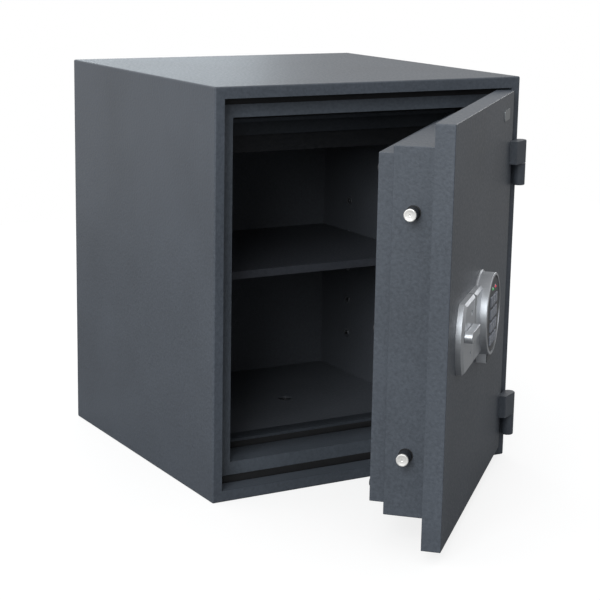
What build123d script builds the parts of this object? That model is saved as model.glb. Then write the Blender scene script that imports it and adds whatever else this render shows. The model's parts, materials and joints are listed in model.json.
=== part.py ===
"""A free-standing fire-resistant safe with a stepped door, two locking bolts and a keypad lock.

Millimetres, +Z up. The origin is at the centre of the base and the front faces -Y.
Everything is modelled with the door shut, by depth behind the front face, so whatever stands
proud of the front has a depth below zero. The door and all that hangs on it are then swung to
the rest pose, which stands open with the bolts thrown.
"""
import os

from build123d import *

# Casing
WIDTH = 434
DEPTH = 417
HEIGHT = 500
FRONT = -DEPTH / 2
CASE_SHEET = 3
CASE_EDGE = 2

# Stepped opening: margins from the casing's outside, and depths behind the front face
SIDE_MARGINS = (12.5, 37, 48, 68)
TOP_MARGINS = (14, 39, 51.5, 70)
BOTTOM_MARGINS = (14, 40, 51.5, 51.5)
STEP_DEPTHS = (0, 26, 75, 95, 362)
JAMB_SHEET = 3
LINER_SHEET = 1.5

# Door: a plate, a bolt box and an inner cover. Insets are from the plate's side, foot and top
DOOR_GAP = 2.2
SILL_GAP = 1.2
PLATE_THICK = 22
BOX_THICK = 50
COVER_THICK = 18
PLATE_INSET = (0, 0, 0)
BOX_INSET = (30, 26.5, 28.5)
COVER_INSET = (38.6, 37.7, 37.7)
PLATE_EDGE = 1
BOX_EDGE = 0.9
DOOR_SHEET = 3
BOX_SHEET = 2
BOX_BACK = PLATE_THICK + BOX_THICK
COVER_BACK = BOX_BACK + COVER_THICK
BOX_FLANGE = 24
OPEN_ANGLE = 44.4

# Hinges
HINGE_X = 215
HINGE_PROUD = 8.3
BARREL_RADIUS = 8
PIN_RADIUS = 4.5
HINGE_FEET = (31, 363)
BODY_KNUCKLE = 28
DOOR_KNUCKLE = 29
WASHER = 1
RUNNING_FIT = 0.05

# Inside
SHELF_TOP = 258.7
SHELF_FRONT = 105
SHELF_HALF = 147.5
SHELF_LIP = 10
SHELF_SHEET = 1.5
PIN_COLUMNS = (150, 292)
INSERT_ROWS = (110, 158, 206, 254.7, 302)
SUPPORT_ROW = 254.7
SUPPORT_RADIUS = 2.5
INSERT_RADIUS = 3.5
INSERT_LENGTH = 10
HEADER_DROP = 22
ANCHOR_RADIUS = 9
SLEEVE_RADIUS = 12

# Boltwork
BOLT_RADIUS = 7
BOLT_DEPTH = 48.2
BOLT_ROWS = (113, 384)
BOLT_PROUD = 19.5
BUSH_WALL = 1.2
SOCKET_FIT = 1.1
SOCKET_RADIUS = BOLT_RADIUS + 4
SOCKET_DEPTH = 20
DOG_LENGTH = 10.5
THROW = 22
CARRIER_THICK = 6
CARRIER_WIDTH = 40
STUD_RADIUS = 4
STUD_ROWS = (150, 350)

# Handle
HANDLE_X = -148.5
HANDLE_Z = 246.6
HUB_RADIUS = 6.8
HUB_PROUD = 18.2
LEVER_LENGTH = 44.5
LEVER_HALF = 5.4
SPINDLE_RADIUS = 4
BUSH_RADIUS = 8
CAM_RADIUS = 22
CAM_PIN_RADIUS = 4

# Silver plate under the handle
PLATE_X = (-160, -87.5)
PLATE_Z = 241.7
PLATE_HALF = 40
PLATE_PROUD = 8.8
PLATE_BOW = 61
PLATE_BEVEL = 2.8
PLATE_SCREW_X = -110
PLATE_SCREW_RISE = 23.3

# Keypad: depths are of the face, the keys and the board, front first
DRUM_X = -7
DRUM_Z = 242.8
DRUM_RADIUS = 48.3
DRUM_PROUD = 17.3
FACE_RADIUS = 45
FLANGE_RADIUS = 50.4
FLANGE_PROUD = 2
WING_LEFT = -84
FACE_DEPTHS = (-16.2, -14.5)
KEY_FRONT = -17.8
KEY_FLANGE_DEPTHS = (-14.4, -13.6)
BOARD_DEPTHS = (-12.8, -12)
KEY_PITCH = (15, 15.3)
KEY_SIZE = (12, 11.5)
TOP_KEY_ROW = 17
KEY_NAMES = ("1", "2", "3", "4", "5", "6", "7", "8", "9", "clear", "0", "enter")
LAMP_PLACES = ((-9, 31), (9, 31))
LAMP_RADIUS = 1.75

# Battery drawer
CELL_RADIUS = 5.25
CELL_LENGTH = 44.5
CELL_FOOT = 200
TRAY_HALF = 12
TRAY_DEPTHS = (-11.8, -0.4)
TRAY_Z = (184.9, 246.5)
TAB_TOP = 198.5
TAB_DEPTHS = (-12.6, -0.4)
TAB_FRONT = -13.8
TRAY_FIT = 0.3

# Lock
LOCK_X = (-90, -29)
LOCK_Z = (186, 271)
LOCK_V = (25, 57)
LOCK_BOLT_X = (-66, -54)
LOCK_BOLT_V = (40, 52)


# ---------------------------------------------------------------- shapes

def block(x, v, z):
    """A box between two widths, two depths behind the front face and two heights."""
    centre = (sum(x) / 2, FRONT + sum(v) / 2, sum(z) / 2)
    return Pos(*centre) * Box(x[1] - x[0], v[1] - v[0], z[1] - z[0])


def rod_x(v, z, radius, x):
    centre = (sum(x) / 2, FRONT + v, z)
    return Pos(*centre) * Rot(0, 90, 0) * Cylinder(radius, x[1] - x[0])


def rod_y(x, z, radius, v):
    centre = (x, FRONT + sum(v) / 2, z)
    return Pos(*centre) * Rot(90, 0, 0) * Cylinder(radius, v[1] - v[0])


def rod_z(x, v, radius, z):
    centre = (x, FRONT + v, sum(z) / 2)
    return Pos(*centre) * Cylinder(radius, z[1] - z[0])


def slab(outline, v):
    """A flat outline, drawn in X and Z, thickened between two depths."""
    face = Plane((0, FRONT + v[1], 0), x_dir=(1, 0, 0), z_dir=(0, -1, 0)) * outline
    return extrude(face, v[1] - v[0], dir=(0, -1, 0))


def upright(points, z):
    """An outline drawn in X and Y, raised between two heights."""
    face = Pos(0, 0, z[0]) * make_face(Polyline(*points, close=True))
    return extrude(face, z[1] - z[0], dir=(0, 0, 1))


def limits(step, grow=0):
    """Half the width of one step of the opening, then its foot and its top."""
    half = WIDTH / 2 - SIDE_MARGINS[step] + grow
    return half, BOTTOM_MARGINS[step] - grow, HEIGHT - TOP_MARGINS[step] + grow


def recess(step, v=None, grow=0):
    """One step of the opening, or that step grown outwards by a sheet's thickness."""
    half, low, high = limits(step, grow)
    v = v or (STEP_DEPTHS[step], STEP_DEPTHS[step + 1])
    return block((-half, half), v, (low, high))


def facing(shape, depth):
    """The edges of a shape that lie at one depth behind the front face."""
    return shape.edges().filter_by_position(Axis.Y, FRONT + depth - 0.01, FRONT + depth + 0.01)


# ---------------------------------------------------------------- casing

def inside_casing(z):
    half = WIDTH / 2 - CASE_SHEET
    return block((-half, half), (CASE_SHEET, DEPTH - CASE_SHEET), z)


def outer_casing():
    """The folded outer sheet: two sides, the top, the back and the face round the door."""
    shell = Pos(0, 0, HEIGHT / 2) * Box(WIDTH, DEPTH, HEIGHT)
    shell = fillet(shell.edges(), CASE_EDGE)
    return shell - inside_casing((-1, HEIGHT - CASE_SHEET)) - recess(0, (-1, CASE_SHEET))


def base_plate():
    return inside_casing((0, CASE_SHEET)) - anchor_bore()


def anchor_bore():
    return rod_z(0, -FRONT, ANCHOR_RADIUS, (-1, BOTTOM_MARGINS[3] + 1))


def anchor_sleeve():
    height = (CASE_SHEET, BOTTOM_MARGINS[3] - LINER_SHEET)
    return rod_z(0, -FRONT, SLEEVE_RADIUS, height) - anchor_bore()


def jamb_envelope():
    outer = recess(0, (CASE_SHEET, STEP_DEPTHS[1] + JAMB_SHEET), JAMB_SHEET)
    for step in (1, 2):
        depths = (STEP_DEPTHS[step], STEP_DEPTHS[step + 1] + JAMB_SHEET)
        outer += recess(step, depths, JAMB_SHEET)
    return outer


def opening():
    cut = recess(0, (-1, STEP_DEPTHS[1]))
    for step in (1, 2):
        cut += recess(step)
    return cut + recess(3, (STEP_DEPTHS[3], STEP_DEPTHS[3] + JAMB_SHEET))


def door_frame():
    """The stepped jamb, with holes for the two bolts and the two hinge-side dogs."""
    frame = jamb_envelope() - opening()
    wall, *_ = limits(1)
    for z in BOLT_ROWS:
        frame -= rod_x(BOLT_DEPTH, z, BOLT_RADIUS + SOCKET_FIT, (-wall - 5, -wall + 1))
        frame -= dog_space(z)
    return frame


def dog_space(z):
    wall, *_ = limits(1)
    return block((wall - 1, wall + 8), (34, 56), (z - 22, z + 22))


def socket_bodies():
    """The outsides of the four cups behind the jamb: round for bolts, square for dogs."""
    outside, *_ = limits(1, JAMB_SHEET)
    for z in BOLT_ROWS:
        yield rod_x(BOLT_DEPTH, z, SOCKET_RADIUS, (-outside - SOCKET_DEPTH, -outside))
        yield block((outside, outside + 8), (31, 59), (z - 25, z + 25))


def socket_spaces():
    outside, *_ = limits(1, JAMB_SHEET)
    for z in BOLT_ROWS:
        yield rod_x(BOLT_DEPTH, z, BOLT_RADIUS + SOCKET_FIT, (-outside - SOCKET_DEPTH + 3, -outside))
        yield dog_space(z)


def jamb_sockets():
    return [body - space for body, space in zip(socket_bodies(), socket_spaces())]


def liner_envelope():
    return recess(3, (STEP_DEPTHS[3] + JAMB_SHEET, STEP_DEPTHS[4] + LINER_SHEET), LINER_SHEET)


def insert_places():
    """Where the bushes for the shelf's pins sit, with the side that each is on."""
    for side in (-1, 1):
        for v in PIN_COLUMNS:
            for z in INSERT_ROWS:
                yield side, v, z


def in_wall(side, v, z, radius, start, end):
    """A rod across one side wall, between two distances outwards from its inner face."""
    wall, *_ = limits(3)
    return rod_x(v, z, radius, sorted((side * (wall + start), side * (wall + end))))


def inner_liner():
    liner = liner_envelope() - recess(3) - anchor_bore()
    return liner - [in_wall(*place, INSERT_RADIUS, 0, LINER_SHEET) for place in insert_places()]


def ring_panels(v, step, grow):
    """The four panels of filling round one depth of the opening."""
    half, low, high = limits(step, grow)
    side = WIDTH / 2 - CASE_SHEET
    foot, top = CASE_SHEET, HEIGHT - CASE_SHEET
    return [
        block((-side, -half), v, (foot, top)),
        block((half, side), v, (foot, top)),
        block((-half, half), v, (high, top)),
        block((-half, half), v, (foot, low)),
    ]


def round_sleeve(panel):
    """The floor's panel, cut into four round the sleeve for the anchor."""
    box = panel.bounding_box()
    x = (box.min.X, -SLEEVE_RADIUS, SLEEVE_RADIUS, box.max.X)
    v = (box.min.Y - FRONT, -FRONT - SLEEVE_RADIUS, -FRONT + SLEEVE_RADIUS, box.max.Y - FRONT)
    z = (box.min.Z, box.max.Z)
    return [
        block((x[0], x[3]), v[:2], z),
        block((x[0], x[3]), v[2:], z),
        block(x[:2], v[1:3], z),
        block(x[2:], v[1:3], z),
    ]


def body_infill():
    """Panels of fire-resistant filling between the casing and the steel inside it."""
    depths = [CASE_SHEET] + [depth + JAMB_SHEET for depth in STEP_DEPTHS[1:4]]
    panels = []
    for step in range(3):
        panels += ring_panels((depths[step], depths[step + 1]), step, JAMB_SHEET)
    back = STEP_DEPTHS[4] + LINER_SHEET
    *walls, floor = ring_panels((depths[3], back), 3, LINER_SHEET)
    panels += walls + round_sleeve(floor)
    side = WIDTH / 2 - CASE_SHEET
    panels.append(block((-side, side), (back, DEPTH - CASE_SHEET), (CASE_SHEET, HEIGHT - CASE_SHEET)))
    pockets = list(socket_bodies())
    pockets += [in_wall(*place, INSERT_RADIUS, 0, INSERT_LENGTH) for place in insert_places()]
    return [panel - pockets for panel in panels]


def shelf_inserts():
    """Flanged bushes in the side walls that take the shelf's pins."""
    bushes = []
    for place in insert_places():
        barrel = in_wall(*place, INSERT_RADIUS, 0, INSERT_LENGTH)
        flange = in_wall(*place, INSERT_RADIUS + 1.5, -1, 0)
        bushes.append(barrel + flange - in_wall(*place, SUPPORT_RADIUS + 0.1, -2, INSERT_LENGTH - 1))
    return bushes


def shelf_pins():
    places = [(side, v, SUPPORT_ROW) for side in (-1, 1) for v in PIN_COLUMNS]
    return [in_wall(*place, SUPPORT_RADIUS, -11, INSERT_LENGTH - 2) for place in places]


def shelf():
    """A sheet with its front and back edges turned down."""
    wide = (-SHELF_HALF, SHELF_HALF)
    front, back = SHELF_FRONT, STEP_DEPTHS[4] - 1
    lip = (SHELF_TOP - SHELF_LIP, SHELF_TOP)
    plate = block(wide, (front, back), (SHELF_TOP - SHELF_SHEET, SHELF_TOP))
    plate += block(wide, (front, front + SHELF_SHEET), lip)
    return plate + block(wide, (back - SHELF_SHEET, back), lip)


def header_rail():
    """An angle under the roof of the chamber, just inside its mouth."""
    half, _, roof = limits(3)
    front = STEP_DEPTHS[3] + 6
    rail = block((-half, half), (front, front + 2), (roof - HEADER_DROP, roof))
    return rail + block((-half, half), (front, front + 24), (roof - 2, roof))


def seal(step, width, thick, gap):
    """A flat strip run round one step face, a little in from that step's wall."""
    back = STEP_DEPTHS[step + 1]
    ring = recess(step, (back - thick, back), -gap)
    return ring - recess(step, (back - thick, back), -gap - width)


# ---------------------------------------------------------------- hinges

def body_knuckle(foot):
    """A barrel with the pad that joins it to the casing."""
    top = foot + BODY_KNUCKLE
    barrel = rod_z(HINGE_X, -HINGE_PROUD, BARREL_RADIUS, (foot, top))
    barrel = fillet(barrel.edges().sort_by(Axis.Z)[0], 1.5)
    pad = block((HINGE_X - 7, WIDTH / 2 - 0.5), (-HINGE_PROUD, 0), (foot + 1.5, top))
    return barrel + pad - rod_z(HINGE_X, -HINGE_PROUD, PIN_RADIUS, (foot + 4, top))


def door_knuckle(foot):
    """A leaf lying on the door's front that runs out into the barrel."""
    low = foot + BODY_KNUCKLE + WASHER
    high = low + DOOR_KNUCKLE
    barrel = rod_z(HINGE_X, -HINGE_PROUD, BARREL_RADIUS, (low, high))
    barrel = fillet(barrel.edges().sort_by(Axis.Z)[-1], 1.5)
    edge = door_half() + 0.5
    points = [
        (edge - 16, FRONT - 9),
        (HINGE_X - 1.5, FRONT - HINGE_PROUD - BARREL_RADIUS + 0.15),
        (HINGE_X, FRONT - 1),
        (edge, FRONT - 1),
        (edge, FRONT),
        (edge - 16, FRONT),
    ]
    leaf = upright(points, (low, high))
    leaf = fillet(leaf.edges().filter_by(Axis.Z).sort_by(Axis.X)[:2].sort_by(Axis.Y)[0], 1.5)
    bore = rod_z(HINGE_X, -HINGE_PROUD, PIN_RADIUS + RUNNING_FIT, (low, high - 3.5))
    return barrel + leaf - bore


def hinge_pins():
    return [
        rod_z(HINGE_X, -HINGE_PROUD, PIN_RADIUS, (foot + 4, foot + BODY_KNUCKLE + WASHER + 24.5))
        for foot in HINGE_FEET
    ]


def hinge_washers():
    washers = []
    for foot in HINGE_FEET:
        seat = (foot + BODY_KNUCKLE, foot + BODY_KNUCKLE + WASHER)
        ring = rod_z(HINGE_X, -HINGE_PROUD, BARREL_RADIUS - 0.7, seat)
        washers.append(ring - rod_z(HINGE_X, -HINGE_PROUD, PIN_RADIUS, seat))
    return washers


# ---------------------------------------------------------------- door

def door_half():
    return WIDTH / 2 - SIDE_MARGINS[0] - DOOR_GAP


def door_layer(inset, v, grow=0):
    """A slab of the door, set in from the plate's edges."""
    half = door_half() - inset[0] + grow
    low = BOTTOM_MARGINS[0] + SILL_GAP + inset[1] - grow
    high = HEIGHT - TOP_MARGINS[0] - DOOR_GAP - inset[2] + grow
    return block((-half, half), v, (low, high))


def soft_layer(inset, v, face, radius):
    """A slab of the door with its corners and the edges of one face rounded."""
    layer = door_layer(inset, v)
    return fillet(layer.edges().filter_by(Axis.Y) + facing(layer, face), radius)


def box_half():
    return door_half() - BOX_INSET[0]


def spindle_hole():
    return rod_y(HANDLE_X, HANDLE_Z, BUSH_RADIUS, (-1, LOCK_V[0] + 1))


def cable_hole():
    return rod_y(DRUM_X, DRUM_Z + 30, 6, (-FLANGE_PROUD - 1, PLATE_THICK + 4))


def door_plate():
    plate = soft_layer(PLATE_INSET, (0, PLATE_THICK), 0, PLATE_EDGE)
    hollow = door_layer(PLATE_INSET, (DOOR_SHEET, PLATE_THICK), -DOOR_SHEET)
    return plate - hollow - spindle_hole() - cable_hole()


def door_infill():
    fill = door_layer(PLATE_INSET, (DOOR_SHEET, PLATE_THICK - DOOR_SHEET), -DOOR_SHEET)
    return fill - spindle_hole() - cable_hole()


def door_back_plate():
    back = door_layer(PLATE_INSET, (PLATE_THICK - DOOR_SHEET, PLATE_THICK), -DOOR_SHEET)
    return back - spindle_hole() - cable_hole()


def bolt_box():
    """The box behind the plate that holds the boltwork, flanged to take the inner cover."""
    box = soft_layer(BOX_INSET, (PLATE_THICK, BOX_BACK), BOX_BACK, BOX_EDGE)
    box -= door_layer(BOX_INSET, (PLATE_THICK, BOX_BACK - BOX_SHEET), -BOX_SHEET)
    box -= door_layer(BOX_INSET, (BOX_BACK - BOX_SHEET, BOX_BACK), -BOX_SHEET - BOX_FLANGE)
    for z in BOLT_ROWS:
        hole = (-box_half() - 1, -box_half() + BOX_SHEET)
        box -= rod_x(BOLT_DEPTH, z, BOLT_RADIUS + BUSH_WALL, hole)
    return box - screw_shanks()


def screw_places():
    x = box_half() - 19
    return [(side * x, z) for side in (-1, 1) for z in (72, HEIGHT / 2, HEIGHT - 72)]


def screw_shanks():
    return [rod_y(x, z, 2.5, (BOX_BACK - BOX_SHEET, COVER_BACK)) for x, z in screw_places()]


def cover_screws():
    """Cross-headed screws through the inner cover into the bolt box's flange."""
    top = COVER_BACK + 2.2
    screws = []
    for (x, z), shank in zip(screw_places(), screw_shanks()):
        head = rod_y(x, z, 4.6, (COVER_BACK, top))
        head = fillet(facing(head, top), 1)
        slot = block((x - 0.6, x + 0.6), (top - 1, top + 1), (z - 3, z + 3))
        cross = block((x - 3, x + 3), (top - 1, top + 1), (z - 0.6, z + 0.6))
        screws.append(head + shank - slot - cross)
    return screws


def inner_cover():
    cover = soft_layer(COVER_INSET, (BOX_BACK, COVER_BACK), COVER_BACK, BOX_EDGE)
    cover -= door_layer(COVER_INSET, (BOX_BACK, COVER_BACK - BOX_SHEET), -BOX_SHEET)
    return cover - screw_shanks()


def cover_infill():
    fill = door_layer(COVER_INSET, (BOX_BACK, COVER_BACK - BOX_SHEET), -BOX_SHEET)
    return fill - screw_shanks()


def hard_plate():
    plate = block((-166, 40), (PLATE_THICK, LOCK_V[0]), (165, 330))
    return plate - spindle_hole() - cable_hole()


def hinge_side_dogs():
    reach = (box_half(), box_half() + DOG_LENGTH)
    return [block(reach, (40, 52), (z - 20, z + 20)) for z in BOLT_ROWS]


def badge_plate():
    badge = block((128, 166), (-1, 0), (452, 465))
    return fillet(badge.edges().filter_by(Axis.Y), 2)


# ---------------------------------------------------------------- boltwork

def bolt_bushings():
    bushes = []
    for z in BOLT_ROWS:
        span = (-box_half() - 0.2, -box_half() + 10)
        sleeve = rod_x(BOLT_DEPTH, z, BOLT_RADIUS + BUSH_WALL, span)
        bushes.append(sleeve - rod_x(BOLT_DEPTH, z, BOLT_RADIUS + RUNNING_FIT, span))
    return bushes


def carrier_left():
    return -box_half() + 12.3


def locking_bolts():
    bolts = []
    for z in BOLT_ROWS:
        bolt = rod_x(BOLT_DEPTH, z, BOLT_RADIUS, (-box_half() - BOLT_PROUD, carrier_left()))
        bolts.append(chamfer(bolt.edges().sort_by(Axis.X)[0], 0.8))
    return bolts


def carrier_depths():
    return (BOLT_DEPTH - CARRIER_THICK / 2, BOLT_DEPTH + CARRIER_THICK / 2)


def carrier_bar():
    """The upright that joins the bolts, slotted for its two studs.

    A lug on it is slotted for the cam's pin, and its arm ends in a finger that the lock's
    bolt stands behind when it is thrown.
    """
    left = carrier_left()
    v = carrier_depths()
    bar = block((left, left + CARRIER_WIDTH), v, (BOLT_ROWS[0] - 14, BOLT_ROWS[1] + 14))
    bar += block((left, LOCK_BOLT_X[0] - 3), v, (285, 301))
    bar += block((LOCK_BOLT_X[0] - 6, LOCK_BOLT_X[0] - 3), (41, v[1]), (LOCK_Z[1] + 2, 301))
    pin_x = HANDLE_X - THROW / 2
    bar += block((pin_x - 9, left + 1), v, (HANDLE_Z + 2, HANDLE_Z + 39))
    slot = (pin_x - CAM_PIN_RADIUS - 0.3, pin_x + CAM_PIN_RADIUS + 0.3)
    bar -= block(slot, v, (HANDLE_Z + 9, HANDLE_Z + 32))
    for z in STUD_ROWS:
        reach = (stud_x() - THROW - STUD_RADIUS - 0.2, stud_x() + STUD_RADIUS + 0.2)
        bar -= block(reach, v, (z - STUD_RADIUS - 0.1, z + STUD_RADIUS + 0.1))
    return bar


def stud_x():
    return carrier_left() + CARRIER_WIDTH - 9


def guide_studs():
    """Shoulder studs on the back plate that keep the carrier level."""
    v = carrier_depths()
    studs = []
    for z in STUD_ROWS:
        stud = rod_y(stud_x(), z, STUD_RADIUS, (PLATE_THICK, v[1] + 0.6))
        collar = rod_y(stud_x(), z, STUD_RADIUS + 3, (PLATE_THICK, v[0] - 0.4))
        head = rod_y(stud_x(), z, STUD_RADIUS + 3, (v[1] + 0.6, v[1] + 4))
        studs.append(stud + collar + head)
    return studs


def drive_cam():
    """A plate on the spindle whose pin moves the carrier across as the handle turns."""
    pin_x = HANDLE_X - THROW / 2
    pin_z = HANDLE_Z + (CAM_RADIUS ** 2 - (THROW / 2) ** 2) ** 0.5
    v = (LOCK_V[0] + 2, LOCK_V[0] + 7)
    cam = rod_y(HANDLE_X, HANDLE_Z, 12, v) + rod_y(pin_x, pin_z, 8, v)
    arm = Polyline((HANDLE_X - 11, HANDLE_Z - 4), (HANDLE_X + 11, HANDLE_Z + 4),
                   (pin_x + 7.5, pin_z + 3), (pin_x - 7.5, pin_z - 3), close=True)
    cam += slab(make_face(arm), v)
    cam += rod_y(pin_x, pin_z, CAM_PIN_RADIUS, (v[0], BOLT_DEPTH + CARRIER_THICK / 2 + 1))
    return cam - rod_y(HANDLE_X, HANDLE_Z, SPINDLE_RADIUS, v)


def handle_spindle():
    return rod_y(HANDLE_X, HANDLE_Z, SPINDLE_RADIUS, (-HUB_PROUD + 2.2, LOCK_V[0] + 8))


def spindle_bush():
    v = (0, LOCK_V[0])
    bore = rod_y(HANDLE_X, HANDLE_Z, SPINDLE_RADIUS + RUNNING_FIT, v)
    return rod_y(HANDLE_X, HANDLE_Z, BUSH_RADIUS, v) - bore


def handle_lever():
    """The hub and its arm, which lies level with the bolts thrown and turns down to draw them."""
    clear = -PLATE_PROUD - 0.3
    hub = rod_y(HANDLE_X, HANDLE_Z, HUB_RADIUS, (-HUB_PROUD, clear))
    hub = fillet(facing(hub, -HUB_PROUD), 1)
    tip = HANDLE_X + LEVER_LENGTH
    front = FRONT - HUB_PROUD + 0.2
    points = [
        (HANDLE_X, front),
        (tip, front),
        (tip, FRONT + clear),
        (HANDLE_X, FRONT + clear),
    ]
    arm = upright(points, (HANDLE_Z - LEVER_HALF, HANDLE_Z + LEVER_HALF))
    arm = fillet(arm.edges().filter_by(Axis.Z).sort_by(Axis.X)[-2:], 1.2)
    arm = fillet(facing(arm, 0.2 - HUB_PROUD).filter_by(Axis.X), 0.8)
    return hub + arm - rod_y(HANDLE_X, HANDLE_Z, SPINDLE_RADIUS, (-HUB_PROUD + 2.2, 0))


def handle_plate():
    """The silver plate under the handle, with a bowed edge towards the opening side."""
    height = (PLATE_Z - PLATE_HALF, PLATE_Z + PLATE_HALF)
    box = block((PLATE_X[0] - 1, PLATE_X[1]), (-PLATE_PROUD, 0), height)
    plate = box & rod_y(PLATE_X[0] + PLATE_BOW, PLATE_Z, PLATE_BOW, (-PLATE_PROUD, 0))
    plate = chamfer(facing(plate, -PLATE_PROUD), PLATE_BEVEL)
    plate -= rod_y(HANDLE_X, HANDLE_Z, SPINDLE_RADIUS + 0.2, (-PLATE_PROUD, 0))
    return plate - [plate_screw(z, 0) for z in plate_screw_rows()]


def plate_screw_rows():
    return (PLATE_Z - PLATE_SCREW_RISE, PLATE_Z + PLATE_SCREW_RISE)


def plate_screw(z, sunk):
    """A screw above or below the handle, or with nothing sunk the hole that it sits in."""
    seat = -PLATE_PROUD + 4
    head = rod_y(PLATE_SCREW_X, z, 3.6, (-PLATE_PROUD + sunk, seat))
    return head + rod_y(PLATE_SCREW_X, z, 2, (seat, 0))


def escutcheon_screws():
    sunk = 0.8
    top = -PLATE_PROUD + sunk
    wide = (PLATE_SCREW_X - 3, PLATE_SCREW_X + 3)
    return [
        plate_screw(z, sunk) - block(wide, (top - 1, top + 1), (z - 0.5, z + 0.5))
        for z in plate_screw_rows()
    ]


# ---------------------------------------------------------------- lock

def lock_case():
    case = block(LOCK_X, (LOCK_V[0], LOCK_V[1] - 2), LOCK_Z)
    case = fillet(case.edges().filter_by(Axis.Y), 4)
    inner = [(a + 4, b - 4) for a, b in (LOCK_X, LOCK_Z)]
    case -= block(inner[0], (LOCK_V[0] + 4, LOCK_V[1] - 2), inner[1])
    wide = (LOCK_BOLT_X[0] - 4, LOCK_BOLT_X[1] + 4)
    guide = block(wide, (LOCK_V[0] + 4, LOCK_V[1] - 2), (240, LOCK_Z[1] - 3))
    return case + guide - lock_bolt_space()


def lock_bolt_space():
    x, v = [(a - 0.1, b + 0.1) for a, b in (LOCK_BOLT_X, LOCK_BOLT_V)]
    return block(x, v, (230, LOCK_Z[1] + 1))


def lock_cover():
    cover = block(LOCK_X, (LOCK_V[1] - 2, LOCK_V[1]), LOCK_Z)
    cover = fillet(cover.edges().filter_by(Axis.Y), 4)
    for x in (LOCK_X[0] + 7, LOCK_X[1] - 7):
        for z in (LOCK_Z[0] + 7, LOCK_Z[1] - 7):
            cover += rod_y(x, z, 3.2, (LOCK_V[1], LOCK_V[1] + 1.8))
    return cover


def lock_bolt():
    bolt = block(LOCK_BOLT_X, LOCK_BOLT_V, (236, LOCK_Z[1]))
    return chamfer(bolt.edges().filter_by(Axis.Y).sort_by(Axis.Z)[-2:], 1)


# ---------------------------------------------------------------- keypad

def drum_disc(radius, v):
    return rod_y(DRUM_X, DRUM_Z, radius, v)


def tray_space():
    """Room for the battery drawer, deeper where its tab passes through the drum's wall."""
    wide = (DRUM_X - TRAY_HALF - TRAY_FIT, DRUM_X + TRAY_HALF + TRAY_FIT)
    room = block(wide, (TRAY_DEPTHS[0] - 0.2, 0), (TRAY_Z[0] - 1, TRAY_Z[1] + 2))
    return room + block(wide, (TAB_FRONT - TRAY_FIT, 0), (TRAY_Z[0] - 1, TAB_TOP + 0.5))


def keypad_base():
    """A silver wing beside the drum, and the flange that the drum stands on."""
    height = (PLATE_Z - PLATE_HALF, PLATE_Z + PLATE_HALF)
    wing = block((WING_LEFT, DRUM_X - TRAY_HALF), (-PLATE_PROUD, 0), height)
    wing = chamfer(facing(wing, -PLATE_PROUD), PLATE_BEVEL)
    wing -= drum_disc(DRUM_RADIUS + 0.2, (-DRUM_PROUD, 0))
    flange = drum_disc(FLANGE_RADIUS, (-FLANGE_PROUD, 0))
    flange = chamfer(facing(flange, -FLANGE_PROUD), 0.8)
    return wing + flange - tray_space() - cable_hole()


def keypad_housing():
    """The drum: a round wall with a lip at the front that the face sits in."""
    drum = drum_disc(DRUM_RADIUS, (-DRUM_PROUD, -FLANGE_PROUD))
    drum = fillet(facing(drum, -DRUM_PROUD), 0.9)
    drum -= drum_disc(DRUM_RADIUS - 2.5, (FACE_DEPTHS[1], -FLANGE_PROUD))
    drum -= drum_disc(FACE_RADIUS + 0.2, (-DRUM_PROUD, -FLANGE_PROUD))
    return drum - tray_space()


def key_places():
    for i, name in enumerate(KEY_NAMES):
        x = DRUM_X + (i % 3 - 1) * KEY_PITCH[0]
        z = DRUM_Z + TOP_KEY_ROW - (i // 3) * KEY_PITCH[1]
        yield name, x, z


def key_block(x, z, grow, v):
    wide, high = KEY_SIZE[0] / 2 + grow, KEY_SIZE[1] / 2 + grow
    shape = block((x - wide, x + wide), v, (z - high, z + high))
    return fillet(shape.edges().filter_by(Axis.Y), 1.5)


def lamp_places():
    return [(DRUM_X + x, DRUM_Z + z) for x, z in LAMP_PLACES]


def keypad_fascia():
    face = drum_disc(FACE_RADIUS, FACE_DEPTHS)
    holes = [key_block(x, z, 0.25, FACE_DEPTHS) for _, x, z in key_places()]
    holes += [rod_y(x, z, LAMP_RADIUS + 0.05, FACE_DEPTHS) for x, z in lamp_places()]
    return face - holes


def key_cap(x, z):
    """A key, with a flange behind the face that keeps it in."""
    cap = key_block(x, z, 0, (KEY_FRONT, KEY_FLANGE_DEPTHS[1]))
    cap = fillet(facing(cap, KEY_FRONT), 0.6)
    return cap + key_block(x, z, 0.9, KEY_FLANGE_DEPTHS)


def status_leds():
    root = FACE_DEPTHS[0] + 0.2
    lights = []
    for x, z in lamp_places():
        dome = Pos(x, FRONT + root, z) * Sphere(LAMP_RADIUS)
        dome &= rod_y(x, z, 2, (root - 2, root))
        lights.append(dome + rod_y(x, z, LAMP_RADIUS, (root, BOARD_DEPTHS[0])))
    return lights


def keypad_board():
    return drum_disc(41, BOARD_DEPTHS)


def drawer_width(inset=0):
    return (DRUM_X - TRAY_HALF + inset, DRUM_X + TRAY_HALF - inset)


def battery_tray():
    """A drawer that draws down out of the drum, with room for two cells side by side."""
    tab = block(drawer_width(), TAB_DEPTHS, (TRAY_Z[0], TAB_TOP))
    tab = fillet(tab.edges().filter_by(Axis.Y).sort_by(Axis.Z)[:2], 0.8)
    tray = tab + block(drawer_width(), TRAY_DEPTHS, (TAB_TOP - 1, TRAY_Z[1]))
    well = (CELL_FOOT - 0.5, CELL_FOOT + CELL_LENGTH + 0.5)
    return tray - block(drawer_width(1), (TRAY_DEPTHS[0], -1.2), well)


def drawer_front():
    """The dark cover on the front of the drawer's tab."""
    return block(drawer_width(), (TAB_FRONT, TAB_DEPTHS[0]), (TRAY_Z[0] + 1.2, TAB_TOP))


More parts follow.
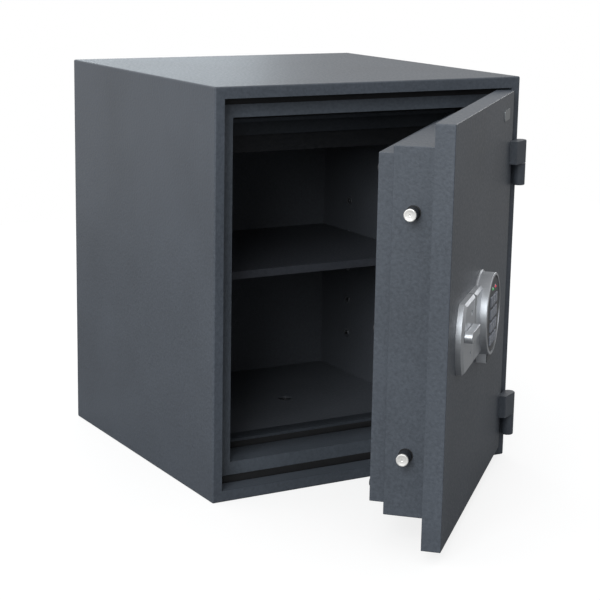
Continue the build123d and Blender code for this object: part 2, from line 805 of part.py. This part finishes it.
def battery_cells():
    v = -1.25 - CELL_RADIUS
    shoulder = CELL_FOOT + CELL_LENGTH - 1
    cells = []
    for x in (DRUM_X - CELL_RADIUS, DRUM_X + CELL_RADIUS):
        cell = rod_z(x, v, CELL_RADIUS, (CELL_FOOT, shoulder))
        cells.append(cell + rod_z(x, v, 1.9, (shoulder, shoulder + 1)))
    return cells


# ---------------------------------------------------------------- parts

def fixed_parts():
    return {
        "outer_casing": outer_casing(),
        "base_plate": base_plate(),
        "body_infill": body_infill(),
        "door_frame": door_frame(),
        "jamb_sockets": jamb_sockets(),
        "inner_liner": inner_liner(),
        "outer_seal": seal(0, 9, 2.4, 0.5),
        "inner_seal": seal(1, 7.5, 2, 0.5),
        "header_rail": header_rail(),
        "shelf": shelf(),
        "shelf_pins": shelf_pins(),
        "shelf_inserts": shelf_inserts(),
        "anchor_sleeve": anchor_sleeve(),
        "hinge_pins": hinge_pins(),
        "hinge_washers": hinge_washers(),
        "body_knuckles": [body_knuckle(foot) for foot in HINGE_FEET],
    }


def swinging_parts():
    parts = {
        "door_plate": door_plate(),
        "door_infill": door_infill(),
        "door_back_plate": door_back_plate(),
        "bolt_box": bolt_box(),
        "inner_cover": inner_cover(),
        "cover_infill": cover_infill(),
        "cover_screws": cover_screws(),
        "hard_plate": hard_plate(),
        "hinge_side_dogs": hinge_side_dogs(),
        "badge_plate": badge_plate(),
        "bolt_bushings": bolt_bushings(),
        "locking_bolts": locking_bolts(),
        "carrier_bar": carrier_bar(),
        "guide_studs": guide_studs(),
        "drive_cam": drive_cam(),
        "handle_spindle": handle_spindle(),
        "spindle_bush": spindle_bush(),
        "handle_lever": handle_lever(),
        "handle_plate": handle_plate(),
        "escutcheon_screws": escutcheon_screws(),
        "lock_case": [lock_case(), lock_cover()],
        "lock_bolt": lock_bolt(),
        "keypad_base": keypad_base(),
        "keypad_housing": keypad_housing(),
        "keypad_fascia": keypad_fascia(),
        "keypad_board": keypad_board(),
        "status_leds": status_leds(),
        "battery_tray": battery_tray(),
        "battery_cells": battery_cells(),
        "drawer_front": drawer_front(),
    }
    for name, foot in zip(("lower", "upper"), HINGE_FEET):
        parts[f"{name}_door_knuckle"] = door_knuckle(foot)
    for name, x, z in key_places():
        parts[f"key_{name}"] = key_cap(x, z)
    return parts


def one_shape(part):
    """A part made of several separate pieces, gathered as one compound."""
    if isinstance(part, list):
        return Compound(children=[piece for item in part for piece in item.solids()])
    return part


def main():
    os.makedirs("parts", exist_ok=True)
    hinge = Axis((HINGE_X, FRONT - HINGE_PROUD, 0), (0, 0, 1))
    for name, part in fixed_parts().items():
        export_step(one_shape(part), f"parts/{name}.step")
    for name, part in swinging_parts().items():
        export_step(one_shape(part).rotate(hinge, OPEN_ANGLE), f"parts/{name}.step")


main()
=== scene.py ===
import json
import math

import bmesh
import bpy
from mathutils import Matrix, Vector


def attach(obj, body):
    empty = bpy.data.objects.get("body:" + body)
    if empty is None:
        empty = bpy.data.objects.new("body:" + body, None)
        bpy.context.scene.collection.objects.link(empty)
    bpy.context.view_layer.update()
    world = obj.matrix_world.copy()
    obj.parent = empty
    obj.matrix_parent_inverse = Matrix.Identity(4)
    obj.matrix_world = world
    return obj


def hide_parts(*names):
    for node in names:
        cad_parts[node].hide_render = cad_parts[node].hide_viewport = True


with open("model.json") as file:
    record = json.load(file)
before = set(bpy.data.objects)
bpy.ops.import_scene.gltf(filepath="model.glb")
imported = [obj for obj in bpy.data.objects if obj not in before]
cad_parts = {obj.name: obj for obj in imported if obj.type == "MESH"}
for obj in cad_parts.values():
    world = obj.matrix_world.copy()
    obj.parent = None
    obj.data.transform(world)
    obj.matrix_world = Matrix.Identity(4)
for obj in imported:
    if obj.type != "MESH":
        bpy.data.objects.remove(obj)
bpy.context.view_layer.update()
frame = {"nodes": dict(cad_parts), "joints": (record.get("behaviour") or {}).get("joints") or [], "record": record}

NODES = frame["nodes"]
JOINTS = {joint["name"]: joint for joint in frame["joints"]}
MM = 0.001
FULL_TURN = 2 * math.pi

# The door's own directions at rest: across it from the opening side, out of its face, and up
ACROSS = Vector(JOINTS["bolt_throw"]["axis"]).normalized()
OUTWARD = -Vector(JOINTS["handle_turn"]["axis"]).normalized()
UP = Vector((0, 0, 1))
FACING_OUT = Matrix((ACROSS, UP, OUTWARD)).transposed()
FACING_LEFT = Matrix((OUTWARD, UP, -ACROSS)).transposed()


def reach(node, way):
    """The lowest and highest that a node reaches along a direction."""
    along = [vertex.co.dot(way) for vertex in NODES[node].data.vertices]
    return min(along), max(along)


def middle(node, way):
    return sum(reach(node, way)) / 2


def on_door(across, outward, up):
    return ACROSS * across + OUTWARD * outward + UP * up


# ------------------------------------------------------------------ camera and light

CAMERA_PLACE = (-1.0945, -1.9115, 0.679)
CAMERA_TURN = (30.278, 12.54, 1.03)
FOCAL_LENGTH = 100.47
SENSOR_WIDTH = 36
GLOW_FROM = (-0.35, 0.3, 0.89)
GLOW_SPAN = {"From Min": -0.5, "From Max": 0.8, "To Min": 0.18, "To Max": 0.9}
FLOOR_HALF = 1.7
PAPER_GREYS = (0.23, 0.25)
PAPER_GLOW = 0.80


def look(yaw, pitch, roll):
    """A camera's turn from its bearing off +Y, its downward tilt and its lean, in degrees."""
    yaw, pitch, roll = (math.radians(a) for a in (yaw, pitch, roll))
    level_ahead = Vector((math.sin(yaw), math.cos(yaw), 0))
    ahead = level_ahead * math.cos(pitch) - UP * math.sin(pitch)
    level = Vector((math.cos(yaw), -math.sin(yaw), 0))
    top = level.cross(ahead)
    right = level * math.cos(roll) + top * math.sin(roll)
    up = top * math.cos(roll) - level * math.sin(roll)
    return Matrix((right, up, -ahead)).transposed().to_4x4()


def make_camera():
    lens = bpy.data.cameras.new("camera")
    lens.lens = FOCAL_LENGTH
    lens.sensor_width = SENSOR_WIDTH
    camera = bpy.data.objects.new("camera", lens)
    camera.matrix_world = Matrix.Translation(CAMERA_PLACE) @ look(*CAMERA_TURN)
    bpy.context.scene.collection.objects.link(camera)
    bpy.context.scene.camera = camera


def area_light(name, place, aim, size, power, colour):
    light = bpy.data.lights.new(name, "AREA")
    light.shape = "RECTANGLE"
    light.size, light.size_y = size
    light.energy = power
    light.color = colour
    lamp = bpy.data.objects.new(name, light)
    lamp.location = place
    lamp.rotation_euler = (Vector(aim) - Vector(place)).to_track_quat("-Z", "Y").to_euler()
    bpy.context.scene.collection.objects.link(lamp)


def studio_glow(tree):
    """Soft light from all round, brightest from above, behind and the left, and dimmest from below."""
    add, link = tree.nodes.new, tree.links.new
    way = add("ShaderNodeVectorMath")
    way.operation = "DOT_PRODUCT"
    way.inputs[1].default_value = GLOW_FROM
    link(add("ShaderNodeTexCoord").outputs["Generated"], way.inputs[0])
    fade = add("ShaderNodeMapRange")
    for key, value in GLOW_SPAN.items():
        fade.inputs[key].default_value = value
    link(way.outputs["Value"], fade.inputs["Value"])
    glow = add("ShaderNodeBackground")
    glow.inputs["Color"].default_value = (1, 1, 1, 1)
    link(fade.outputs["Result"], glow.inputs["Strength"])
    return glow


def make_world():
    """A white backdrop to the camera, and the studio's glow to everything else."""
    world = bpy.data.worlds.new("studio")
    world.use_nodes = True
    tree = world.node_tree
    white = tree.nodes["Background"]
    white.inputs["Color"].default_value = (1, 1, 1, 1)
    white.inputs["Strength"].default_value = 1.0
    choice = tree.nodes.new("ShaderNodeMixShader")
    tree.links.new(tree.nodes.new("ShaderNodeLightPath").outputs["Is Camera Ray"], choice.inputs[0])
    tree.links.new(studio_glow(tree).outputs[0], choice.inputs[1])
    tree.links.new(white.outputs[0], choice.inputs[2])
    tree.links.new(choice.outputs[0], tree.nodes["World Output"].inputs["Surface"])
    bpy.context.scene.world = world


def make_lights():
    make_world()
    area_light("key", place=(-2.7, -2.6, 2.0), aim=(-0.1, -0.3, 0.25),
               size=(1.8, 2.4), power=84, colour=(0.94, 0.98, 1))
    area_light("top_back", place=(0.35, 1.7, 1.0), aim=(-0.2, 0.1, 0.5),
               size=(1.0, 0.8), power=4, colour=(0.82, 0.93, 1))
    area_light("rim", place=(1.7, 0.75, 0.9), aim=(0.0, -0.35, 0.25),
               size=(0.7, 0.7), power=3, colour=(0.98, 0.99, 1))
    bpy.context.scene.view_settings.view_transform = "Standard"


def make_floor():
    mesh = bpy.data.meshes.new("floor")
    half = FLOOR_HALF
    corners = [(-half, -half, 0), (half, -half, 0), (half, half, 0), (-half, half, 0)]
    mesh.from_pydata(corners, [], [(0, 1, 2, 3)])
    floor = bpy.data.objects.new("floor", mesh)
    bpy.context.scene.collection.objects.link(floor)
    floor.data.materials.append(plain_floor())


# ------------------------------------------------------------------ materials

PEEL_SIZE = 0.0034
PEEL_DEPTH = 0.00022
DRIFT_SIZE = 0.12
DRIFT_SHARE = 0.4
COAT_ROUGHNESS = (0.36, 0.50)
# Painted shade in the jamb's recess: where the jamb's colour starts to darken with depth, where it is darkest, and
# how much is left there
JAMB_PAINTED_SHADE = (-0.165, -0.120, 0.30)
BRUSH_LINE = 0.0004
BRUSH_STRETCH = (60, 60, 1)
BRUSH_DEPTH = 0.000005


class Paint:
    """One node material, with short calls for the nodes that the finishes share."""

    def __init__(self, name):
        self.material = bpy.data.materials.new(name)
        self.material.use_nodes = True
        self.tree = self.material.node_tree
        self.shader = self.tree.nodes["Principled BSDF"]
        self.place = self.add("ShaderNodeTexCoord").outputs["Object"]

    def add(self, kind):
        return self.tree.nodes.new(kind)

    def link(self, source, target):
        self.tree.links.new(source, target)

    def set(self, **values):
        for key, value in values.items():
            self.shader.inputs[key.replace("_", " ")].default_value = value

    def noise(self, size, detail=3, rough=0.55, stretch=(1, 1, 1)):
        """Noise whose features are about size metres across, drawn out where stretch is over 1."""
        spread = self.add("ShaderNodeMapping")
        spread.inputs["Scale"].default_value = [1 / (size * s) for s in stretch]
        self.link(self.place, spread.inputs["Vector"])
        node = self.add("ShaderNodeTexNoise")
        node.inputs["Scale"].default_value = 1
        node.inputs["Detail"].default_value = detail
        node.inputs["Roughness"].default_value = rough
        self.link(spread.outputs["Vector"], node.inputs["Vector"])
        return node.outputs["Fac"]

    def ramp(self, factor, low, high, start=0.3, end=0.7):
        """A colour that goes from low to high as the factor goes from start to end."""
        node = self.add("ShaderNodeValToRGB")
        for element, place, colour in zip(node.color_ramp.elements, (start, end), (low, high)):
            element.position = place
            element.color = (*colour, 1)
        self.link(factor, node.inputs["Fac"])
        return node.outputs["Color"]

    def level(self, factor, low, high, start=0.3, end=0.7):
        """A number that goes from low to high as the factor goes from start to end."""
        node = self.add("ShaderNodeMapRange")
        for key, value in (("From Min", start), ("From Max", end), ("To Min", low), ("To Max", high)):
            node.inputs[key].default_value = value
        self.link(factor, node.inputs["Value"])
        return node.outputs["Result"]

    def blend(self, one, two, share):
        """Two numbers mixed, with the given share of the second."""
        node = self.add("ShaderNodeMix")
        node.inputs["Factor"].default_value = share
        self.link(one, node.inputs["A"])
        self.link(two, node.inputs["B"])
        return node.outputs["Result"]

    def painted_shade_by_depth(self, colour, span):
        """The colour, darkened with the depth along +Y as painted shade, from one depth to another, down to a part
        of it.
        """
        near, far, least = span
        split = self.add("ShaderNodeSeparateXYZ")
        self.link(self.place, split.inputs[0])
        shadow = self.level(split.outputs["Y"], 1, least, near, far)
        node = self.add("ShaderNodeVectorMath")
        node.operation = "SCALE"
        self.link(colour, node.inputs[0])
        self.link(shadow, node.inputs["Scale"])
        return node.outputs["Vector"]

    def bump(self, height, distance, under=None):
        node = self.add("ShaderNodeBump")
        node.inputs["Distance"].default_value = distance
        self.link(height, node.inputs["Height"])
        if under is not None:
            self.link(under, node.inputs["Normal"])
        return node.outputs["Normal"]

    def use(self, socket, source):
        self.link(source, self.shader.inputs[socket])


def shade(colour, by):
    return tuple(min(1, c * by) for c in colour)


def powder_coat(name, colour, fade=None):
    """Textured powder coat: an orange peel with a fine grit, over a colour that drifts a little; a fade adds
    painted shade by depth.
    """
    paint = Paint(name)
    peel = paint.noise(PEEL_SIZE, 2, 0.5)
    mottle = paint.blend(peel, paint.noise(DRIFT_SIZE, 2), DRIFT_SHARE)
    tone = paint.ramp(mottle, shade(colour, 0.80), shade(colour, 1.20))
    paint.use("Base Color", paint.painted_shade_by_depth(tone, fade) if fade else tone)
    grit = paint.noise(PEEL_SIZE / 4, 1)
    paint.use("Normal", paint.bump(grit, PEEL_DEPTH / 8, under=paint.bump(peel, PEEL_DEPTH)))
    paint.use("Roughness", paint.level(peel, *COAT_ROUGHNESS))
    paint.set(Specular_IOR_Level=0.5)
    return paint.material


def brushed(name, colour, rough):
    """Metal with fine lines drawn one way, and a slightly uneven shine."""
    paint = Paint(name)
    lines = paint.noise(BRUSH_LINE, 4, 0.6, BRUSH_STRETCH)
    cloud = paint.noise(0.03, 2)
    paint.use("Base Color", paint.ramp(lines, shade(colour, 0.93), shade(colour, 1.05)))
    paint.use("Roughness", paint.level(cloud, rough - 0.04, rough + 0.05))
    paint.use("Normal", paint.bump(lines, BRUSH_DEPTH))
    paint.set(Metallic=1.0)
    return paint.material


def turned(name, colour, rough, metallic):
    """Turned steel, plated, with faint tool marks and handling marks; its near-black use on the bolt shanks is a
    painted dark reflection.
    """
    paint = Paint(name)
    marks = paint.noise(0.0012, 3, 0.6)
    smear = paint.noise(0.012, 2)
    paint.use("Base Color", paint.ramp(smear, shade(colour, 0.92), shade(colour, 1.03)))
    paint.use("Roughness", paint.level(smear, rough - 0.04, rough + 0.08))
    paint.use("Normal", paint.bump(marks, 0.000003))
    paint.set(Metallic=metallic)
    return paint.material


def moulded(name, colour, rough=0.45, grain=0.0006, depth=0.00001):
    """Plastic, rubber or cast stuff: a fine grain over a colour that clouds a little."""
    paint = Paint(name)
    cloud = paint.noise(0.02, 2)
    paint.use("Base Color", paint.ramp(cloud, shade(colour, 0.9), shade(colour, 1.08)))
    grainy = paint.noise(grain, 2)
    paint.use("Roughness", paint.level(grainy, rough - 0.05, rough + 0.06))
    paint.use("Normal", paint.bump(grainy, depth))
    return paint.material


def lamp_lens(name, colour, glow):
    """Tinted clear plastic over a lit lamp, with a bright core."""
    paint = Paint(name)
    core = paint.noise(0.0015, 1)
    paint.use("Base Color", paint.ramp(core, shade(colour, 0.75), colour))
    paint.use("Roughness", paint.level(core, 0.08, 0.16))
    paint.set(Coat_Weight=1.0, Coat_Roughness=0.05, Emission_Color=(*glow, 1), Emission_Strength=0.5)
    return paint.material


def plain_floor():
    """Matt grey paper, lit to near-white for the camera alone, so that it bounces little light."""
    paint = Paint("pale_floor")
    dark, pale = ((grey,) * 3 for grey in PAPER_GREYS)
    paper = paint.ramp(paint.noise(0.5, 2), dark, pale)
    paint.use("Base Color", paper)
    paint.set(Roughness=0.8, Specular_IOR_Level=0.1)
    shown = paint.add("ShaderNodeMath")
    shown.operation = "MULTIPLY"
    shown.inputs[1].default_value = PAPER_GLOW
    paint.link(paint.add("ShaderNodeLightPath").outputs["Is Camera Ray"], shown.inputs[0])
    paint.set(Emission_Color=(1, 1, 1, 1))
    paint.use("Emission Strength", shown.outputs[0])
    return paint.material


def make_materials():
    return {
        "grey_paint": powder_coat("grey_paint", (0.073, 0.085, 0.104)),
        "dark_paint": powder_coat("dark_paint", (0.078, 0.085, 0.098)),
        # The shelf: a darker copy of the dark paint, as painted shade
        "shelf_painted_shade": powder_coat("shelf_painted_shade", (0.046, 0.050, 0.060)),
        # The jamb: a lighter copy of the dark paint as painted light, darkened deeper in its recess as painted
        # shade
        "jamb_painted_light_and_shade": powder_coat("jamb_painted_light_and_shade", (0.086, 0.100, 0.120), fade=JAMB_PAINTED_SHADE),
        # The header rail: a much darker copy of the dark paint, as painted shade
        "header_painted_shade": powder_coat("header_painted_shade", (0.012, 0.013, 0.015)),
        "filling": moulded("filling", (0.36, 0.35, 0.32), 0.9, 0.002, 0.0001),
        "seal": moulded("seal", (0.012, 0.012, 0.013), 0.6, 0.001, 0.00003),
        "bright_steel": turned("bright_steel", (0.95, 0.93, 0.90), 0.34, 0.5),
        # Near-black steel for the bolt shanks: a painted dark reflection, not the steel's own colour
        "shank_steel_painted_reflection": turned("shank_steel_painted_reflection", (0.045, 0.05, 0.06), 0.4, 0.6),
        "plated_steel": brushed("plated_steel", (0.6, 0.61, 0.63), 0.3),
        "screw_black": moulded("screw_black", (0.05, 0.053, 0.06), 0.4, 0.0008, 0.00001),
        "badge_grey": brushed("badge_grey", (0.34, 0.36, 0.37), 0.45),
        "hard_steel": brushed("hard_steel", (0.2, 0.2, 0.21), 0.45),
        "satin_silver": brushed("satin_silver", (0.62, 0.64, 0.67), 0.42),
        "black_plastic": moulded("black_plastic", (0.015, 0.015, 0.016)),
        "grey_plastic": moulded("grey_plastic", (0.075, 0.08, 0.088)),
        "key_grey": moulded("key_grey", (0.28, 0.30, 0.35), 0.5),
        "led": lamp_lens("led", (0.06, 0.45, 0.12), (0.05, 0.55, 0.13)),
        "led_red": lamp_lens("led_red", (0.7, 0.03, 0.06), (1.0, 0.04, 0.1)),
        "ink": moulded("ink", (0.75, 0.76, 0.78), 0.5, 0.0003, 0.000002),
        "board": moulded("board", (0.02, 0.12, 0.05), 0.35),
        "cell": brushed("cell", (0.25, 0.28, 0.32), 0.35),
        "brass": brushed("brass", (0.72, 0.55, 0.27), 0.3),
        "die_cast": moulded("die_cast", (0.42, 0.43, 0.45), 0.5, 0.001, 0.00002),
    }


# Nodes that take another finish than their slot's; for the jamb, header rail and shelf it is painted light and
# shade
FINISHES_AND_PAINTED_SHADE_COPIES = {
    "door_frame": "jamb_painted_light_and_shade",
    "header_rail": "header_painted_shade",
    "shelf": "shelf_painted_shade",
    "cover_screws": "screw_black",
    "badge_plate": "badge_grey",
}


def dress_nodes():
    """Give each CAD node its slot's finish, or its own: the screws and badge their own finishes, the jamb, header
    rail and shelf lighter or darker copies of their dark paint as painted light and shade.
    """
    for row in frame["record"]["subparts"]:
        slots = NODES[row["node"]].data.materials
        slots.clear()
        slots.append(MATERIALS[FINISHES_AND_PAINTED_SHADE_COPIES.get(row["node"], row["material_slot"])])


# ------------------------------------------------------------------ pieces

ON_AXIS = 1e-9
LENS_SHARE = 0.97
BEZEL_LIFT = 0.1 * MM
BEZEL_HALF = 0.35 * MM
BEZEL_OUTSET = 0.45 * MM
MARK_SIZE = 6.4 * MM
INK_THICK = 0.04 * MM
BOLT_BEVEL = 0.8 * MM
GROOVE_HALF = 0.25 * MM
GROOVES_BEHIND_TIP = (5.2 * MM, 2.6 * MM)
FACE_SUNK = 0.15 * MM
# The centre hole in a bolt's end, from its rim to its foot, as (radius, depth)
CENTRE_HOLE = ((1.4 * MM, 0.15 * MM), (0.9 * MM, 0.5 * MM), (0, 0.9 * MM))
# How far up a seal's thickness its rounded face begins, and where across it the face has points
SEAL_SHOULDER = 0.45
SEAL_POINTS = (0.06, 0.15, 0.3, 0.5, 0.7, 0.85, 0.94)


def add_piece(name, work, turn, place, body, slot, finish=None, smooth=True):
    """Turn a bmesh into a piece that rides on a body."""
    bmesh.ops.recalc_face_normals(work, faces=work.faces)
    mesh = bpy.data.meshes.new(name)
    work.to_mesh(mesh)
    work.free()
    mesh.transform(Matrix.Translation(place) @ turn.to_4x4())
    mesh.polygons.foreach_set("use_smooth", [smooth] * len(mesh.polygons))
    mesh.materials.append(MATERIALS[finish or slot])
    piece = bpy.data.objects.new(name, mesh)
    bpy.context.scene.collection.objects.link(piece)
    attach(piece, body)
    return piece


def hoop(work, radius, height, steps):
    """A circle of points about Z, or one point where it has no radius."""
    count = steps if radius > ON_AXIS else 1
    turns = [FULL_TURN * i / steps for i in range(count)]
    return [work.verts.new((radius * math.cos(a), radius * math.sin(a), height)) for a in turns]


def lathe(profile, steps=64):
    """A closed body of revolution about Z, from (radius, height) points that start and end on it."""
    work = bmesh.new()
    rings = [hoop(work, radius, height, steps) for radius, height in profile]
    for low, high in zip(rings, rings[1:]):
        for i in range(steps):
            j = (i + 1) % steps
            corners = [low[i % len(low)], low[j % len(low)], high[j % len(high)], high[i % len(high)]]
            work.faces.new(list(dict.fromkeys(corners)))
    return work


def ring(profile, steps):
    """A ring about Z, from the closed outline of its section as (radius, height) points."""
    work = bmesh.new()
    rings = [hoop(work, radius, height, steps) for radius, height in profile]
    for low, high in zip(rings, rings[1:] + rings[:1]):
        for i in range(steps):
            j = (i + 1) % steps
            work.faces.new((low[i], low[j], high[j], high[i]))
    return work


def arc(radius, height, size, start, end, steps=6):
    """Points on an arc of one size about (radius, height), between two angles in degrees."""
    angles = [math.radians(start + (end - start) * i / steps) for i in range(steps + 1)]
    return [(radius + size * math.cos(a), height + size * math.sin(a)) for a in angles]


def crease(piece, angle):
    """Keep a smooth piece's corners crisp."""
    mesh = piece.data
    mesh.shade_smooth()
    mesh.set_sharp_from_angle(angle=math.radians(angle))


def make_lamps():
    """The two lamps above the keys: green on the left, red on the right, each in a bezel."""
    left, right = reach("status_leds", ACROSS)
    back = reach("status_leds", OUTWARD)[0]
    low, high = reach("status_leds", UP)
    radius = (high - low) / 2
    lens_radius = radius * LENS_SHARE
    face = reach("keypad_fascia", OUTWARD)[1]
    up = (low + high) / 2
    for name, across, finish in (("green", left + radius, "led"), ("red", right - radius, "led_red")):
        dome = arc(0, face - back, lens_radius, 0, 90)
        lens = lathe([(0, 0), (lens_radius, 0), *dome[:-1], (0, dome[-1][1])], 32)
        place = on_door(across, back, up)
        piece = add_piece(f"lamp_{name}", lens, FACING_OUT, place, "door", "led", finish)
        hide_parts("status_leds")
        crown = arc(radius + BEZEL_OUTSET, BEZEL_LIFT, BEZEL_HALF, 180, 0)
        section = [(radius * 1.02, 0), *crown, (radius * 1.5, 0)]
        bezel = ring(section, 32)
        add_piece(f"lamp_bezel_{name}", bezel, FACING_OUT, on_door(across, face, up), "door", "satin_silver")


KEY_MARKS = {"clear": "C", "enter": "E"}


def make_key_marks():
    """A printed number or letter on each key, raised by the thickness of its ink."""
    for node in sorted(name for name in NODES if name.startswith("key_")):
        word = node.split("_")[1]
        text = bpy.data.curves.new(f"mark_{word}", "FONT")
        text.body = KEY_MARKS.get(word, word)
        text.size = MARK_SIZE
        text.align_x = "CENTER"
        text.align_y = "CENTER"
        text.extrude = INK_THICK
        carrier = bpy.data.objects.new(f"carrier_{word}", text)
        mesh = bpy.data.meshes.new_from_object(carrier)
        bpy.data.objects.remove(carrier)
        work = bmesh.new()
        work.from_mesh(mesh)
        bpy.data.meshes.remove(mesh)
        place = on_door(middle(node, ACROSS), reach(node, OUTWARD)[1], middle(node, UP))
        add_piece(f"mark_{word}", work, FACING_OUT, place, node, "key_grey", "ink", smooth=False)


def make_bolts():
    """The two bolts, turned: a bright end with a dimple and a bevel, on a shank made near-black as a painted dark
    reflection, with two grooves.
    """
    root, tip = reach("locking_bolts", -ACROSS)
    low, high = reach("locking_bolts", UP)
    deep = middle("locking_bolts", OUTWARD)
    back, front = reach("locking_bolts", OUTWARD)
    radius = (front - back) / 2
    long = tip - root
    profile = [(0, 0), (radius, 0)]
    for behind in GROOVES_BEHIND_TIP:
        along = long - behind
        profile += [(radius, along - GROOVE_HALF), (radius - GROOVE_HALF, along)]
        profile.append((radius, along + GROOVE_HALF))
    shoulder = long - BOLT_BEVEL
    profile += [(radius, shoulder), *arc(radius - BOLT_BEVEL, shoulder, BOLT_BEVEL, 20, 90, 4)]
    profile += [(radius * 0.8, long), (radius * 0.74, long - FACE_SUNK)]
    profile += [(out, long - sunk) for out, sunk in CENTRE_HOLE]
    for name, up in (("lower", low + radius), ("upper", high - radius)):
        place = on_door(-root, deep, up)
        bolt = add_piece(f"{name}_bolt", lathe(profile), FACING_LEFT, place, "boltwork", "bright_steel")
        crease(bolt, 25)
        paint_shank_dark_reflection(bolt, -tip + BOLT_BEVEL * 1.2)
        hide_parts("locking_bolts")


def paint_shank_dark_reflection(bolt, across):
    """Make a bolt's faces that lie wholly inside a place along the door near-black, a painted dark reflection."""
    bolt.data.materials.append(MATERIALS["shank_steel_painted_reflection"])
    for face in bolt.data.polygons:
        if min(bolt.data.vertices[v].co.dot(ACROSS) for v in face.vertices) > across:
            face.material_index = 1


def strip_loop(half, low, high, section):
    """A mitred loop round a doorway, from a section of (outset, depth) points."""
    work = bmesh.new()
    rows = []
    for out, deep in section:
        side, foot, top = half + out, low - out, high + out
        corners = [(-side, foot), (side, foot), (side, top), (-side, top)]
        rows.append([work.verts.new((x, deep, z)) for x, z in corners])
    for one, two in zip(rows, rows[1:] + rows[:1]):
        for i in range(4):
            j = (i + 1) % 4
            work.faces.new((one[i], one[j], two[j], two[i]))
    return work


def make_seal(node, wide):
    """A heat-swelling strip with a crowned face, mitred at its corners."""
    low, high = reach(node, UP)
    half = reach(node, Vector((1, 0, 0)))[1]
    front, back = reach(node, Vector((0, 1, 0)))
    shoulder = (back - front) * SEAL_SHOULDER
    section = [(0, back), (0, front + shoulder)]
    for across in SEAL_POINTS:
        sunk = shoulder * (1 - math.sin(math.pi * across)) ** 2
        section.append((-wide * across, front + sunk))
    section += [(-wide, front + shoulder), (-wide, back)]
    loop = strip_loop(half, low, high, section)
    strip = add_piece(f"{node}_strip", loop, Matrix.Identity(3), Vector(), "safe_body", "seal")
    crease(strip, 50)
    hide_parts(node)


make_camera()
make_lights()
make_floor()
MATERIALS = make_materials()
dress_nodes()
make_lamps()
make_key_marks()
make_bolts()
make_seal("outer_seal", 9 * MM)
make_seal("inner_seal", 7.5 * MM)
